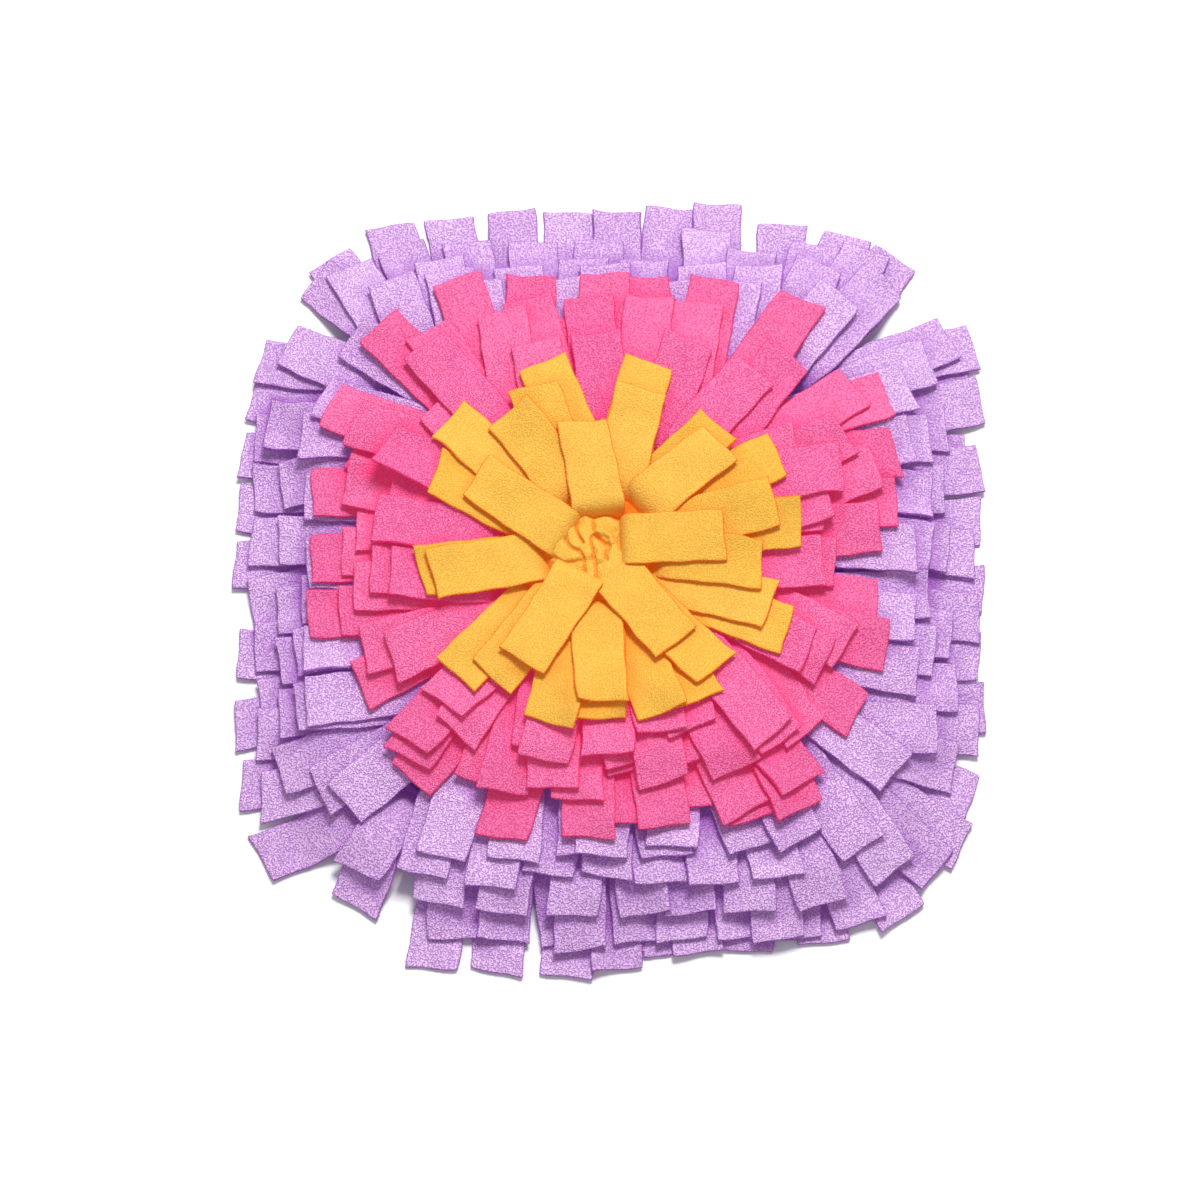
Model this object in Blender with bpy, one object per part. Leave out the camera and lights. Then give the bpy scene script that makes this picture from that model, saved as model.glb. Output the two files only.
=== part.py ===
"""Snuffle mat: rows of fleece strips rooted in a plain backing mat.

Five lilac rows, three pink rows and three yellow rows of cut strips stand on a backing mat and fall outwards
over one another, so that the tips lie like shingles and the middle rises to a soft yellow flower.

The layout is worked out in millimetres and each mesh is made in metres. +Z is up, +X is the mat's right side
and +Y its far side. The origin is at the bottom centre of the mat's box.
"""

import math
from collections import namedtuple

import bmesh
import bpy
import numpy as np

MM = 0.001  # metres in a millimetre

# The flower's centre lies a little off the middle of the mat.
FLOWER_X = -6.4
FLOWER_Y = 6.97

# Backing mat
BACKING_THICKNESS = 3.0
BACKING_MARGIN = 10.0  # from the outermost roots to the backing's edge
SEAT_GAP = 0.3  # between one piece and the piece that carries it

# Root bands, the narrow strips that each row's roots are fused into
BAND_WIDTH = 8.0
BAND_THICKNESS = 2.0

# Fleece strips
STRIP_WIDTH = 26.0
FLEECE_THICKNESS = 1.6
CLEARANCE = 0.4  # least air between a strip and the pile under it
SHOULDER_RUN = 8.0  # from the root to where the strip starts to fold over
CREST_RUN = 20.0  # from the root to the top of the fold
SHOULDER_SHARE = 0.9  # height of the shoulder, as a share of the crest's height
MAX_ROLL = 4.0  # most that one edge of a strip lies above the other
DRAPE_SHARE = 0.42  # place of the last bend, as a share of the way from the crest to the tip

# Height map of the pile
CELL = 1.0
HALF_MAP = 240  # cells from the middle to the map's edge
CELL_MARGIN = 0.5  # a cell this close to a strip counts as under it
LET_DOWN_STEP = 0.5  # how far a corner sinks at a time while its strip settles
LEAST_DROP = 0.02  # a corner that could sink by less than this has settled
HALVINGS = 20  # steps in which a root's place on its path is found

# Rows laid round the flower, outermost first. left, right, far and near are the distances from the flower's
# centre to the row's roots, and bend is the radius of that path's corners: a yellow row's path is a circle.
# crest is the height of a strip's fold, and root, neck and fold are its widths at its foot, its shoulder and
# its crest.
Row = namedtuple("Row", "name colour left right far near bend crest root neck fold")
ROWS = (
    Row("purple_row_1", "lilac_fleece", 121, 132, 129, 147, 35, 12, 7, 10, 16),
    Row("purple_row_2", "lilac_fleece", 110, 119, 115, 132, 33, 15, 7, 10, 16),
    Row("purple_row_3", "lilac_fleece", 99, 106, 103, 116, 31, 18, 7, 10, 15),
    Row("purple_row_4", "lilac_fleece", 88.5, 95, 91, 101, 29, 21, 7, 10, 15),
    Row("purple_row_5", "lilac_fleece", 78.5, 84, 79.5, 87, 27, 24, 7, 10, 14),
    Row("pink_row_1", "pink_fleece", 69, 74, 70, 74, 40, 27, 6, 8, 13),
    Row("pink_row_2", "pink_fleece", 58, 62, 59, 62, 38, 29, 6, 7, 11),
    Row("pink_row_3", "pink_fleece", 47, 50, 48, 50, 34, 31, 6, 7, 12),
    Row("yellow_row_1", "yellow_fleece", 35, 35, 35, 35, 35, 33, 8, 10, 13),
    Row("yellow_row_2", "yellow_fleece", 23.5, 23.5, 23.5, 23.5, 23.5, 35, 8, 11, 15),
    Row("yellow_row_3", "yellow_fleece", 11.5, 11.5, 11.5, 11.5, 11.5, 39, 9, 18, 22),
)

# Where each strip lies, placed one by one and listed in the order in which they lie on one another, lowest
# first. Seen from the flower's centre, with 0 to the right and 90 to the far side: the bearing of the tip's
# middle in degrees, the distance to it in mm, and the bearing of the root in degrees.
Place = namedtuple("Place", "tip_bearing reach root_bearing")
PLACES = {
    "purple_row_1": (
        (180, 193, -179), (-156, 208, -147), (-137, 236, -131), (-112, 231, -117), (-94, 219, -96),
        (-81, 210, -80), (-69, 220, -62), (-51, 244, -47), (-33, 230, -38), (-15, 206, -22), (6, 203, 8),
        (17, 203, 24), (25, 217, 35), (47, 236, 43), (62, 217, 54), (80, 205, 76), (95, 200, 97),
        (112, 211, 119), (131, 226, 132), (154, 208, 148), (172, 194, 169), (-165, 196, -157),
        (-148, 219, -137), (-125, 222, -127), (-104, 223, -107), (-87, 215, -89), (-76, 213, -72),
        (-60, 232, -54), (-39, 240, -42), (-22, 216, -32), (-5, 203, -8), (14, 209, 19), (23, 222, 30),
        (31, 235, 39), (54, 229, 48), (72, 214, 65), (87, 199, 86), (104, 206, 108), (121, 223, 127),
        (148, 215, 140), (163, 200, 156),
    ),
    "purple_row_2": (
        (-174, 185, -174), (-157, 192, -148), (-145, 214, -133), (-111, 214, -119), (-95, 202, -101),
        (-85, 202, -83), (-69, 213, -64), (-63, 224, -54), (-44, 239, -44), (-25, 217, -35), (2, 198, 7),
        (33, 225, 38), (57, 213, 48), (90, 181, 90), (111, 193, 119), (134, 222, 132), (160, 196, 151),
        (177, 185, 175), (-165, 187, -159), (-152, 201, -141), (-126, 207, -128), (-103, 206, -109),
        (-92, 206, -95), (-78, 205, -73), (-65, 221, -58), (-56, 233, -49), (-31, 214, -40), (-8, 201, -12),
        (22, 199, 32), (51, 227, 43), (72, 196, 63), (101, 184, 106), (122, 208, 126), (145, 207, 140),
        (168, 188, 162),
    ),
    "purple_row_3": (
        (-171, 171, -168), (-153, 186, -141), (-115, 201, -121), (-94, 190, -93), (-76, 194, -71),
        (-59, 215, -51), (-21, 199, -33), (2, 184, 8), (32, 207, 37), (54, 202, 48), (83, 168, 78),
        (117, 187, 127), (157, 192, 148), (177, 169, 177), (-161, 176, -153), (-145, 201, -135),
        (-104, 194, -109), (-84, 190, -83), (-68, 202, -58), (-47, 224, -44), (-12, 188, -17),
        (13, 187, 20), (45, 221, 43), (65, 192, 54), (94, 167, 96), (129, 213, 137), (167, 173, 155),
    ),
    "purple_row_4": (
        (-172, 157, -168), (-151, 178, -139), (-119, 192, -125), (-99, 172, -95), (-81, 177, -79),
        (-63, 193, -53), (-17, 182, -28), (2, 174, 6), (20, 186, 33), (72, 171, 60), (104, 167, 114),
        (127, 190, 137), (169, 158, 162), (-162, 166, -153), (-139, 191, -132), (-107, 184, -114),
        (-90, 171, -87), (-72, 184, -62), (-28, 197, -47), (-8, 173, -14), (11, 178, 21), (63, 182, 48),
        (88, 161, 87), (116, 176, 128), (157, 171, 144),
    ),
    "purple_row_5": (
        (-177, 153, -174), (-151, 172, -138), (-117, 180, -124), (-92, 160, -95), (-79, 165, -77),
        (-64, 175, -59), (-50, 205, -45), (-21, 176, -31), (1, 165, 5), (30, 188, 39), (64, 167, 53),
        (98, 154, 104), (138, 179, 131), (-162, 161, -149), (-134, 186, -131), (-104, 168, -115),
        (-89, 162, -86), (-76, 162, -66), (-56, 184, -52), (-38, 191, -38), (-12, 167, -22), (20, 175, 31),
        (48, 192, 46), (75, 157, 63), (113, 164, 124), (150, 171, 142),
    ),
    "pink_row_1": (
        (-179, 150, -177), (-150, 143, -147), (-127, 155, -128), (-107, 160, -112), (-87, 146, -85),
        (-72, 144, -66), (-62, 163, -51), (-33, 158, -35), (-10, 146, -17), (20, 165, 32), (53, 175, 47),
        (80, 155, 68), (104, 158, 118), (133, 171, 134), (168, 154, 155), (-167, 155, -155),
        (-130, 148, -138), (-116, 138, -120), (-92, 153, -95), (-77, 151, -74), (-62, 159, -59),
        (-53, 172, -44), (-18, 156, -28), (9, 157, 15), (30, 174, 40), (68, 162, 55), (90, 153, 88),
        (117, 169, 126), (151, 163, 142),
    ),
    "pink_row_2": (
        (-178, 134, -175), (-165, 139, -153), (-132, 142, -136), (-110, 138, -119), (-96, 135, -101),
        (-81, 120, -83), (-68, 124, -65), (-51, 162, -49), (-42, 145, -33), (-22, 137, -17), (17, 151, 12),
        (34, 161, 29), (52, 156, 45), (73, 122, 62), (81, 135, 80), (102, 128, 99), (108, 123, 117),
        (127, 151, 134), (155, 140, 152), (174, 127, 172), (-170, 129, -161), (-156, 133, -144),
        (-128, 124, -128), (-100, 130, -110), (-82, 117, -92), (-74, 130, -74), (-60, 138, -57),
        (-48, 140, -41), (-28, 131, -25), (4, 146, 3), (27, 141, 21), (47, 145, 37), (69, 145, 54),
        (80, 140, 71), (92, 139, 89), (105, 144, 108), (113, 141, 126), (151, 147, 143), (166, 137, 161),
    ),
    "pink_row_3": (
        (-172, 119, -166), (-152, 122, -143), (-107, 112, -117), (-87, 113, -84), (-63, 110, -56),
        (-27, 121, -30), (-3, 122, -6), (11, 117, 18), (26, 115, 41), (66, 120, 63), (108, 115, 115),
        (137, 115, 144), (166, 113, 168), (-171, 109, -155), (-132, 117, -132), (-104, 118, -105),
        (-73, 106, -67), (-49, 135, -45), (-3, 115, -18), (11, 121, 6), (18, 132, 29), (49, 125, 52),
        (90, 115, 84), (130, 144, 132), (154, 124, 156), (172, 117, 180),
    ),
    "yellow_row_1": (
        (76, 101, 75), (4, 104, 8), (-27, 107, -33), (-137, 102, -140), (106, 102, 98), (-61, 99, -55),
        (27, 103, 28), (-72, 98, -73), (-90, 95, -91), (-104, 100, -109), (-168, 94, -170), (158, 93, 158),
        (111, 90, 119), (45, 88, 49),
    ),
    "yellow_row_2": (
        (141, 103, 143), (-22, 94, -36), (75, 85, 74), (10, 92, 15), (-8, 84, -10), (-51, 91, -62),
        (-127, 91, -129), (123, 84, 117), (41, 81, 44), (-91, 87, -95), (-166, 88, -170),
    ),
    "yellow_row_3": (
        (153, 73, 168), (-56, 68, -68), (2, 64, 8), (-120, 76, -124), (96, 65, 92),
    ),
}

# Knot of gathered fleece in the flower's centre: height above the seat and radius at each height
Tier = namedtuple("Tier", "height radius lobe")
KNOT_TIERS = (
    Tier(0.0, 5.0, 0.00),
    Tier(14.0, 6.0, 0.05),
    Tier(28.0, 9.0, 0.08),
    Tier(38.0, 12.5, 0.10),
    Tier(44.0, 10.0, 0.18),
)
KNOT_SIDES = 12
KNOT_LOBES = 4
KNOT_CROWN = 46.0  # height of the knot's top above its seat

# Colours and finish: linear red, green and blue, then roughness
FINISHES = {
    "backing_felt": ((0.50, 0.33, 0.74), 0.95),
    "lilac_fleece": ((0.58, 0.37, 0.81), 0.95),
    "pink_fleece": ((1.00, 0.14, 0.42), 0.95),
    "yellow_fleece": ((1.00, 0.56, 0.05), 0.95),
}

BAND_FLOOR = BACKING_THICKNESS + SEAT_GAP
BAND_MIDDLE = BAND_FLOOR + BAND_THICKNESS / 2
BAND_TOP = BAND_FLOOR + BAND_THICKNESS

Strip = namedtuple("Strip", "root_x root_y angle length crest root neck fold")


# ---- Layout of the strips ------------------------------------------------------------------------------


def outside_path(row, x, y):
    """True where a point, measured from the flower's centre, lies outside a row's root path."""
    over_x = max(abs(x) - ((row.right if x > 0 else row.left) - row.bend), 0.0)
    over_y = max(abs(y) - ((row.far if y > 0 else row.near) - row.bend), 0.0)
    return math.hypot(over_x, over_y) > row.bend


def root_point(row, bearing):
    """Point on a row's root path at a bearing, found by halving the distances between which it lies."""
    direction_x, direction_y = math.cos(math.radians(bearing)), math.sin(math.radians(bearing))
    low, high = 0.0, row.near + row.right
    for _ in range(HALVINGS):
        middle = (low + high) / 2
        if outside_path(row, middle * direction_x, middle * direction_y):
            high = middle
        else:
            low = middle
    return low * direction_x, low * direction_y


def row_strips(row):
    """Strips of one row, lowest first."""
    strips = []
    for place in (Place(*numbers) for numbers in PLACES[row.name]):
        x, y = root_point(row, place.root_bearing)
        run_x = place.reach * math.cos(math.radians(place.tip_bearing)) - x
        run_y = place.reach * math.sin(math.radians(place.tip_bearing)) - y
        angle, length = math.atan2(run_y, run_x), math.hypot(run_x, run_y)
        strips.append(
            Strip(FLOWER_X + x, FLOWER_Y + y, angle, length, row.crest, row.root, row.neck, row.fold)
        )
    return strips


# ---- How the strips pile up ------------------------------------------------------------------------------


def stations(strip):
    """Distances from the root at which a strip bends: root, shoulder, crest, drape and tip."""
    drape = CREST_RUN + (strip.length - CREST_RUN) * DRAPE_SHARE
    return np.array([0.0, SHOULDER_RUN, CREST_RUN, drape, strip.length])


def half_widths(strip):
    """Half of a strip's width at each station: pinched at the root, full from the drape on."""
    return np.array([strip.root, strip.neck, strip.fold, STRIP_WIDTH, STRIP_WIDTH]) / 2


def strip_triangles():
    """Corner numbers of a face's triangles; station n of a strip has corners 2n, left, and 2n + 1, right."""
    triangles = []
    for station in range(4):
        left, right, next_left, next_right = (2 * station + corner for corner in range(4))
        triangles += [(left, right, next_right), (left, next_right, next_left)]
    return triangles


def corner_places(strip, margin=0.0):
    """Run and side offset of a strip's ten corners, its outline grown by a margin."""
    runs = stations(strip)
    runs = np.array([runs[0] - margin, *runs[1:-1], runs[-1] + margin])
    halves = half_widths(strip) + margin
    return np.stack([np.repeat(runs, 2), np.stack([halves, -halves], axis=1).ravel()], axis=1)


def cross(first, second):
    """Twice the signed area that two plan vectors, or rows of vectors, span."""
    return first[..., 0] * second[..., 1] - first[..., 1] * second[..., 0]


def cells_under(strip):
    """The map's cells under a strip: row and column numbers, and each cell's share of the strip's corners."""
    half = STRIP_WIDTH / 2 + CELL_MARGIN
    tip_x = strip.root_x + strip.length * math.cos(strip.angle)
    tip_y = strip.root_y + strip.length * math.sin(strip.angle)
    low_x, high_x = sorted((strip.root_x, tip_x))
    low_y, high_y = sorted((strip.root_y, tip_y))
    rows, columns = np.mgrid[
        int((low_x - half) / CELL) + HALF_MAP - 2 : int((high_x + half) / CELL) + HALF_MAP + 2,
        int((low_y - half) / CELL) + HALF_MAP - 2 : int((high_y + half) / CELL) + HALF_MAP + 2,
    ]
    rows, columns = rows.ravel(), columns.ravel()
    from_root_x = (rows - HALF_MAP) * CELL - strip.root_x
    from_root_y = (columns - HALF_MAP) * CELL - strip.root_y
    run = from_root_x * math.cos(strip.angle) + from_root_y * math.sin(strip.angle)
    side = from_root_y * math.cos(strip.angle) - from_root_x * math.sin(strip.angle)
    corners = corner_places(strip, CELL_MARGIN)
    shares = np.zeros((len(rows), len(corners)))
    for triangle in strip_triangles():
        first, second, third = corners[list(triangle)]
        area = cross(second - first, third - first)
        cell = np.stack([run, side], axis=1)
        weights = np.stack(
            [
                cross(second - cell, third - cell),
                cross(third - cell, first - cell),
                cross(first - cell, second - cell),
            ],
            axis=1,
        )
        weights /= area
        inside = (weights.min(axis=1) >= -1e-9) & (shares.sum(axis=1) < 0.5)
        for corner, weight in zip(triangle, weights.T):
            shares[inside, corner] = weight[inside]
    under = shares.sum(axis=1) > 0.5
    return rows[under], columns[under], shares[under], run[under]


def settle(strip, height_map):
    """Heights of a strip's ten lower corners, let down in small steps until each one rests on the pile."""
    rows, columns, shares, run = cells_under(strip)
    pile = height_map[rows, columns]
    clear = np.where(pile > 0, pile + CLEARANCE, 0.0)
    clear[run < SHOULDER_RUN] = 0.0
    lowest = np.repeat([BAND_MIDDLE, SHOULDER_SHARE * strip.crest, strip.crest, 0.0, 0.0], 2)
    heights = np.maximum(lowest, clear.max())
    heights[:2] = BAND_MIDDLE
    shares_used = shares > 1e-6
    air = shares @ heights - clear
    air[run < SHOULDER_RUN] = clear.max()
    still_moving = True
    while still_moving:
        still_moving = False
        for corner in range(2, 10):
            used = shares_used[:, corner]
            room = (air[used] / shares[used, corner]).min()
            least = max(lowest[corner], heights[corner ^ 1] - MAX_ROLL)
            drop = min(room, heights[corner] - least, LET_DOWN_STEP)
            if drop > LEAST_DROP:
                heights[corner] -= drop
                air -= shares[:, corner] * drop
                still_moving = True
    return heights


def upper_heights(strip, heights):
    """Heights of a strip's upper corners: the fleece's thickness, measured upwards on each slope."""
    middles = heights.reshape(5, 2).mean(axis=1)
    slopes = np.diff(middles) / np.diff(stations(strip))
    rises = FLEECE_THICKNESS * np.sqrt(1.0 + slopes**2)
    at_stations = (np.array([rises[0], *rises]) + np.array([*rises, rises[-1]])) / 2
    return heights + np.repeat(at_stations, 2)


def press_into_pile(strip, heights, height_map):
    """Adds a settled strip's upper face to the height map."""
    rows, columns, shares, _ = cells_under(strip)
    np.maximum.at(height_map, (rows, columns), shares @ upper_heights(strip, heights))


# ---- Solids ------------------------------------------------------------------------------------------------


def clear_scene():
    for scene_object in list(bpy.data.objects):
        bpy.data.objects.remove(scene_object, do_unlink=True)


def make_collection(name):
    collection = bpy.data.collections.new(name)
    bpy.context.scene.collection.children.link(collection)
    return collection


def make_material(name):
    colour, roughness = FINISHES[name]
    material = bpy.data.materials.new(name)
    material.use_nodes = True
    shader = material.node_tree.nodes["Principled BSDF"]
    shader.inputs["Base Color"].default_value = (*colour, 1.0)
    shader.inputs["Roughness"].default_value = roughness
    shader.inputs["Metallic"].default_value = 0.0
    material.diffuse_color = (*colour, 1.0)
    return material


def rounded_outline(row, margin, steps=6):
    """Points, in mm, of a row's root path grown by a margin."""
    bend = row.bend + margin
    corner_x = (row.right - row.bend, row.bend - row.left, row.bend - row.left, row.right - row.bend)
    corner_y = (row.far - row.bend, row.far - row.bend, row.bend - row.near, row.bend - row.near)
    points = []
    for corner, (x, y) in enumerate(zip(corner_x, corner_y)):
        for step in range(steps + 1):
            angle = math.radians(90 * (corner + step / steps))
            points.append((FLOWER_X + x + bend * math.cos(angle), FLOWER_Y + y + bend * math.sin(angle)))
    return points


def plate(name, outlines, floor, thickness, material, collection):
    """A flat plate between outlines: a filled 2D curve with an extrude, made a mesh with welded caps."""
    curve = bpy.data.curves.new(name, "CURVE")
    curve.dimensions = "2D"
    curve.fill_mode = "BOTH"
    curve.extrude = thickness / 2 * MM
    for outline in outlines:
        spline = curve.splines.new("POLY")
        spline.points.add(len(outline) - 1)
        for point, (x, y) in zip(spline.points, outline):
            point.co = (x * MM, y * MM, 0.0, 1.0)
        spline.use_cyclic_u = True
    source = bpy.data.objects.new(name + "_curve", curve)
    collection.objects.link(source)
    bpy.context.view_layer.update()
    evaluated = source.evaluated_get(bpy.context.evaluated_depsgraph_get())
    mesh = bpy.data.meshes.new_from_object(evaluated)
    bpy.data.objects.remove(source, do_unlink=True)
    shape = bmesh.new()
    shape.from_mesh(mesh)
    bmesh.ops.remove_doubles(shape, verts=shape.verts, dist=1e-6)
    shape.to_mesh(mesh)
    shape.free()
    mesh.materials.clear()
    mesh.materials.append(material)
    solid = bpy.data.objects.new(name, mesh)
    solid.location.z = (floor + thickness / 2) * MM
    collection.objects.link(solid)
    return solid


def strip_solids(name, settled, material, collection):
    """The strips of a row as separate closed lofts, from the pinched root to the square-cut tip."""
    shape = bmesh.new()
    for strip, heights in settled:
        lower, upper = [], []
        for corner, (run, side) in enumerate(corner_places(strip)):
            x = strip.root_x + run * math.cos(strip.angle) - side * math.sin(strip.angle)
            y = strip.root_y + run * math.sin(strip.angle) + side * math.cos(strip.angle)
            lower.append(shape.verts.new((x * MM, y * MM, heights[corner] * MM)))
            upper.append(shape.verts.new((x * MM, y * MM, upper_heights(strip, heights)[corner] * MM)))
        for first, second, third in strip_triangles():
            shape.faces.new((upper[first], upper[second], upper[third]))
            shape.faces.new((lower[third], lower[second], lower[first]))
        for left in range(0, 8, 2):
            right = left + 1
            shape.faces.new((upper[left], upper[left + 2], lower[left + 2], lower[left]))
            shape.faces.new((lower[right], lower[right + 2], upper[right + 2], upper[right]))
        shape.faces.new((upper[1], upper[0], lower[0], lower[1]))
        shape.faces.new((upper[8], upper[9], lower[9], lower[8]))
    mesh = bpy.data.meshes.new(name)
    shape.to_mesh(mesh)
    shape.free()
    mesh.materials.append(material)
    strips = bpy.data.objects.new(name, mesh)
    strips.hide_render = True
    strips.display_type = "WIRE"
    collection.objects.link(strips)
    return strips


def fuse_roots(band, strips):
    union = band.modifiers.new("fused_roots", "BOOLEAN")
    union.operation = "UNION"
    union.solver = "EXACT"
    union.object = strips


def make_knot(material, collection):
    """The gathered knot in the flower's centre, a lobed cage that Subdivision Surface rounds."""
    shape = bmesh.new()
    loops = []
    for tier in KNOT_TIERS:
        loop = []
        for side in range(KNOT_SIDES):
            angle = 2 * math.pi * side / KNOT_SIDES
            radius = tier.radius * (1 + tier.lobe * math.cos(KNOT_LOBES * angle + tier.height / 12))
            x = FLOWER_X + radius * math.cos(angle)
            y = FLOWER_Y + radius * math.sin(angle)
            loop.append(shape.verts.new((x * MM, y * MM, (BAND_FLOOR + tier.height) * MM)))
        loops.append(loop)
    for lower, upper in zip(loops, loops[1:]):
        for side in range(KNOT_SIDES):
            after = (side + 1) % KNOT_SIDES
            shape.faces.new((lower[side], lower[after], upper[after], upper[side]))
    shape.faces.new(reversed(loops[0]))
    crown = shape.verts.new((FLOWER_X * MM, FLOWER_Y * MM, (BAND_FLOOR + KNOT_CROWN) * MM))
    for side in range(KNOT_SIDES):
        shape.faces.new((loops[-1][side], loops[-1][(side + 1) % KNOT_SIDES], crown))
    mesh = bpy.data.meshes.new("centre_knot")
    shape.to_mesh(mesh)
    shape.free()
    mesh.materials.append(material)
    knot = bpy.data.objects.new("centre_knot", mesh)
    collection.objects.link(knot)
    return knot


def lay_row(row, material, parts, guides, height_map):
    """Settles a row's strips on the pile and fuses their roots into the row's band."""
    outlines = [rounded_outline(row, BAND_WIDTH / 2), rounded_outline(row, -BAND_WIDTH / 2)]
    band = plate(row.name, outlines, BAND_FLOOR, BAND_THICKNESS, material, parts)
    settled = []
    for strip in row_strips(row):
        heights = settle(strip, height_map)
        press_into_pile(strip, heights, height_map)
        settled.append((strip, heights))
    fuse_roots(band, strip_solids(row.name + "_strips", settled, material, guides))


def base_map():
    """Height map of the bare backing mat, with the root bands' tops on it."""
    places = (np.arange(2 * HALF_MAP) - HALF_MAP) * CELL
    x, y = np.meshgrid(places - FLOWER_X, places - FLOWER_Y, indexing="ij")
    outer = ROWS[0]
    bend = outer.bend + BACKING_MARGIN
    half_x = np.where(x > 0, outer.right, outer.left) + BACKING_MARGIN
    half_y = np.where(y > 0, outer.far, outer.near) + BACKING_MARGIN
    over_x = np.maximum(np.abs(x) - (half_x - bend), 0.0)
    over_y = np.maximum(np.abs(y) - (half_y - bend), 0.0)
    return np.where(np.hypot(over_x, over_y) <= bend + CELL, BAND_TOP, 0.0)


def main():
    clear_scene()
    parts = make_collection("snuffle_mat")
    guides = make_collection("guides")
    materials = {name: make_material(name) for name in FINISHES}
    outline = rounded_outline(ROWS[0], BACKING_MARGIN)
    plate("backing_mat", [outline], 0.0, BACKING_THICKNESS, materials["backing_felt"], parts)
    height_map = base_map()
    for row in ROWS:
        lay_row(row, materials[row.colour], parts, guides, height_map)
    make_knot(materials["yellow_fleece"], parts)


main()
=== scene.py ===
import math
import random
from collections import namedtuple

import bpy
import numpy as np
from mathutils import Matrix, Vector


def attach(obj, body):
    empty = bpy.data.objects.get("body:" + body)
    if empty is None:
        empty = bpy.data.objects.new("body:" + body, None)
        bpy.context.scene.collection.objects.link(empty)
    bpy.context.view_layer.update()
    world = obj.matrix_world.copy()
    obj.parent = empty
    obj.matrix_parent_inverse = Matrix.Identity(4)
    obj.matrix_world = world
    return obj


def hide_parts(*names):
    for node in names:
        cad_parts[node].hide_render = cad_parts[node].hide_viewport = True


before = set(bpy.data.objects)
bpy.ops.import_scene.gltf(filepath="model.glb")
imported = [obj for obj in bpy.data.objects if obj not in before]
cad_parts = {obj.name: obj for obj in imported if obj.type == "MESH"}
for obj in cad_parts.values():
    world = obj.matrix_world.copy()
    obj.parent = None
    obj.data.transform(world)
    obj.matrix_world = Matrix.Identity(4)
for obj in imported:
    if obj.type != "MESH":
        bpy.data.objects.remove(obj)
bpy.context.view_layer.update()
mm = 0.001  # metres in a millimetre
print("frame loaded:", ", ".join(sorted(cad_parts)))

# Where the flower's centre lies on the mat, in mm; every strip is laid out round it.
flower = {"x": -6.4, "y": 6.97}

view = {
    "elevation": 75,  # degrees above the floor
    "distance": 1500,  # mm from the lens to the aim point
    "focalPixels": 2885,  # focal length on a picture that is pictureWidth pixels across
    "pictureWidth": 1200,
    "aimBehindFlower": -24.7,  # mm along the mat from the flower's centre to the aim point
    "aimHeight": 20,  # mm
    "sensor": 36,  # mm
}


def addObject(name, data):
    added = bpy.data.objects.new(name, data)
    bpy.context.scene.collection.objects.link(added)
    return added


def makeCamera():
    tilt = math.radians(view["elevation"])
    data = bpy.data.cameras.new("studioCamera")
    data.sensor_width = view["sensor"]
    data.lens = view["sensor"] * view["focalPixels"] / view["pictureWidth"]
    camera = addObject("studioCamera", data)
    camera.location = (
        flower["x"] * mm,
        (flower["y"] + view["aimBehindFlower"] - view["distance"] * math.cos(tilt)) * mm,
        (view["aimHeight"] + view["distance"] * math.sin(tilt)) * mm,
    )
    camera.rotation_euler = (math.pi / 2 - tilt, 0.0, 0.0)
    bpy.context.scene.camera = camera


makeCamera()
print("camera set")


# Nodes and materials

def linear(hexColour):
    # sRGB hex to the linear colour that a shader socket takes
    channels = [int(hexColour[place:place + 2], 16) / 255 for place in (1, 3, 5)]
    return tuple(c / 12.92 if c <= 0.04045 else ((c + 0.055) / 1.055) ** 2.4 for c in channels) + (1.0,)


def addNode(tree, kind, settings=None, inputs=None, links=None):
    # settings are the node's own properties, inputs its sockets' values, and links what feeds its sockets:
    # an output of another node, or a whole node for the first of its outputs
    node = tree.nodes.new(kind)
    for name, value in (settings or {}).items():
        setattr(node, name, value)
    for socket, value in (inputs or {}).items():
        node.inputs[socket].default_value = value
    for socket, source in (links or {}).items():
        output = source.outputs[0] if isinstance(source, bpy.types.Node) else source
        tree.links.new(output, node.inputs[socket])
    return node


def newMaterial(name):
    # the material, its empty tree, and the places on the object that its patterns follow
    material = bpy.data.materials.new(name)
    material.use_nodes = True
    tree = material.node_tree
    tree.nodes.clear()
    return material, tree, addNode(tree, "ShaderNodeTexCoord").outputs["Object"]


# Anti-pill polyester fleece, knitted and brushed: a matt nap that rolls up into small pebbles, in its own
# colour on their tops and with painted shade deepening it in the crevices between them, painted shade under
# other strips and along the cut edges, a painted glow that is strongest under other strips, and a faint
# pale bloom where it is seen at a slant.
fleeceLooks = {
    "lilac_fleece": {
        "name": "lilacBrushedFleece",
        # its own colour; the painted crevice shade's colour; the colour of the painted shade and glow under
        # other strips
        "top": "#eec7f5",
        "creviceShade": "#9656b6",
        "buriedShade": "#a056bc",
        "pebble": 0.95,  # mm from one pebble of nap to the next
        "crevice": 0.57,  # how much of the painted crevice shade lies between the pebbles
        "relief": 0.7,  # mm
        "richSpread": 0.05,  # how far one strip's richness of colour differs from the next one's
        "paintedGlowBase": 0.12,  # strength of the painted glow that the nap gives off everywhere, though it is no lamp
        "paintedGlow": 0.04,  # and how much more painted glow there is under other strips
    },
    "pink_fleece": {
        "name": "pinkBrushedFleece",
        "top": "#e377a9",
        "creviceShade": "#b42a66",
        "buriedShade": "#e83470",
        "pebble": 0.9,
        "crevice": 0.58,
        "relief": 0.45,
        "richSpread": 0.02,
        "paintedGlowBase": 0.22,
        "paintedGlow": 0.06,
    },
    "yellow_fleece": {
        "name": "yellowBrushedFleece",
        "top": "#d8b44e",
        "creviceShade": "#cb7a1c",
        "buriedShade": "#ea6e18",
        "pebble": 0.85,
        "crevice": 0.34,
        "relief": 0.25,
        "richSpread": 0.01,
        "paintedGlowBase": 0.18,
        "paintedGlow": 0.16,
    },
}
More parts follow.
